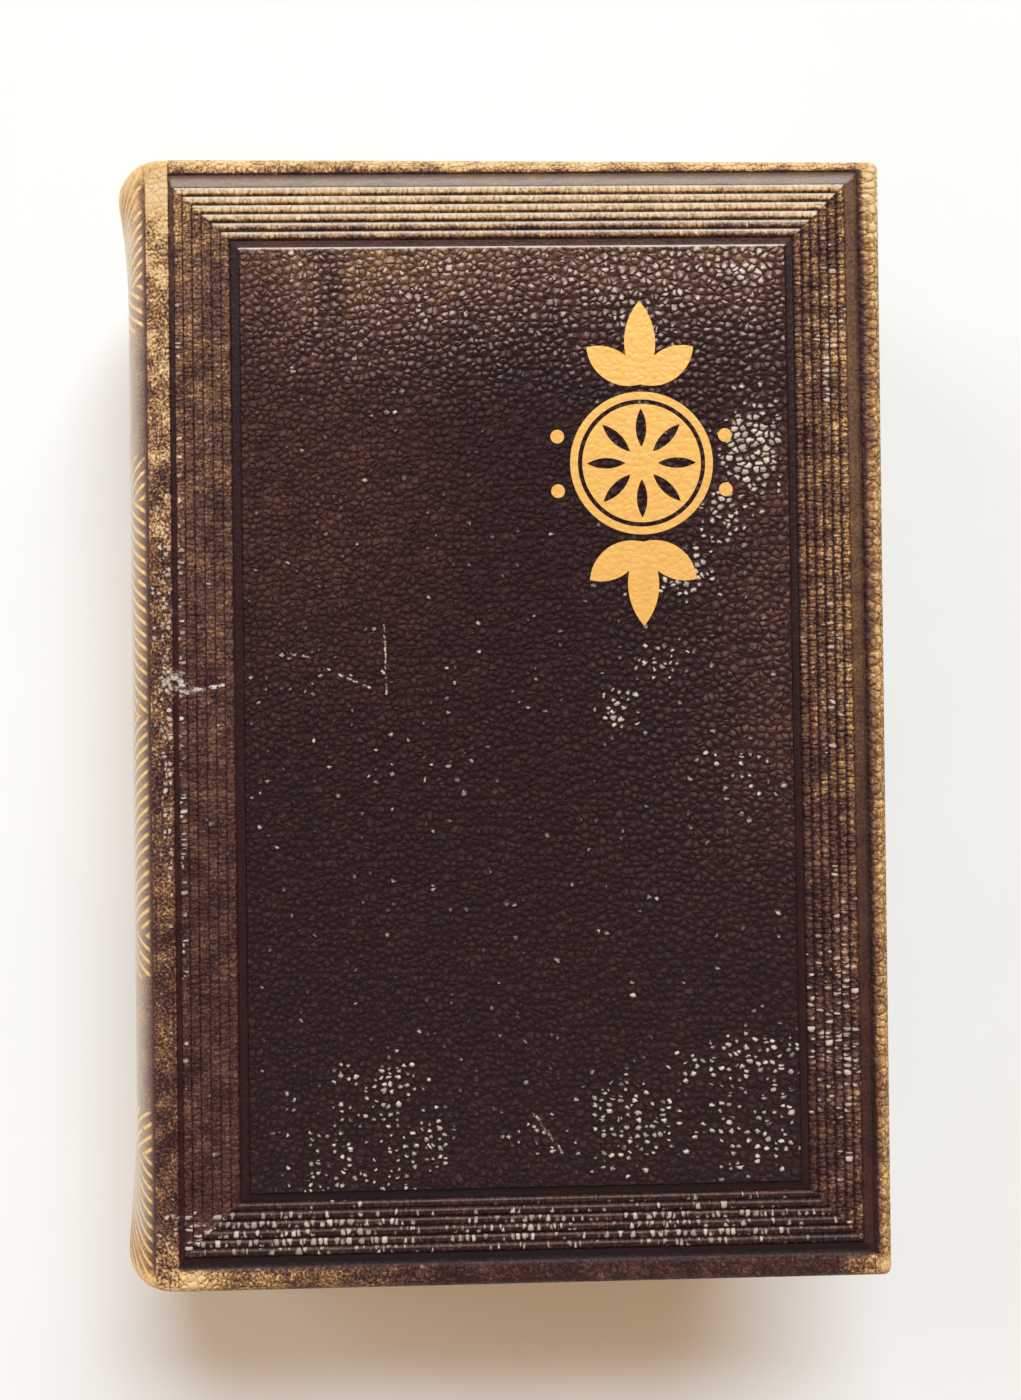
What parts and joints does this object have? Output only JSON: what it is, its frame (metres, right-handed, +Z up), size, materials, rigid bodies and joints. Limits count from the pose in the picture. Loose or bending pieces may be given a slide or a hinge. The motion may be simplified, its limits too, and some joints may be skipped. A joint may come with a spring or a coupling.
{
  "type": "leather-bound book",
  "caption": "Thick pocket-size book bound in leather, with a rounded spine, hinged covers, a blind-tooled frame on each cover and a gilt ornament on the front.",
  "frame": {"origin": "on the table, under the middle of the closed book's bounding box", "axes": "+X from the spine to the fore-edge, +Y from the tail to the head, +Z up through the leaves to the front cover"},
  "size_m": [0.1262, 0.18, 0.04],
  "materials": {
    "leather": "pebble-grained dark brown hide, rubbed to tan at the edges",
    "leaves": "cut edges of many thin leaves, slightly yellowed",
    "endpaper": "plain cream paper",
    "board": "grey-brown board",
    "mull": "open cloth",
    "head_band": "striped thread",
    "gilding": "stamped gold-coloured foil, a little worn"
  },
  "bodies": {
    "block": {"text_block": "leaves", "spine_mull": "mull", "spine_stiffener": "board", "spine_leather": "leather", "head_band": "head_band", "tail_band": "head_band", "front_flyleaf": "endpaper", "back_flyleaf": "endpaper"},
    "front_cover": {"front_cover_leather": "leather", "front_board": "board", "front_pastedown": "endpaper", "front_ornament": "gilding"},
    "back_cover": {"back_cover_leather": "leather", "back_board": "board", "back_pastedown": "endpaper"}
  },
  "joints": [
    {"name": "front_cover_hinge", "type": "hinge", "parent": "block", "child": "front_cover", "pos_m": [-0.05045, 0, 0.0401], "axis": [0, -1, 0], "range_deg": [0, 175]},
    {"name": "back_cover_hinge", "type": "hinge", "parent": "block", "child": "back_cover", "pos_m": [-0.05045, 0, -0.0001], "axis": [0, 1, 0], "range_deg": [0, 175]}
  ]
}
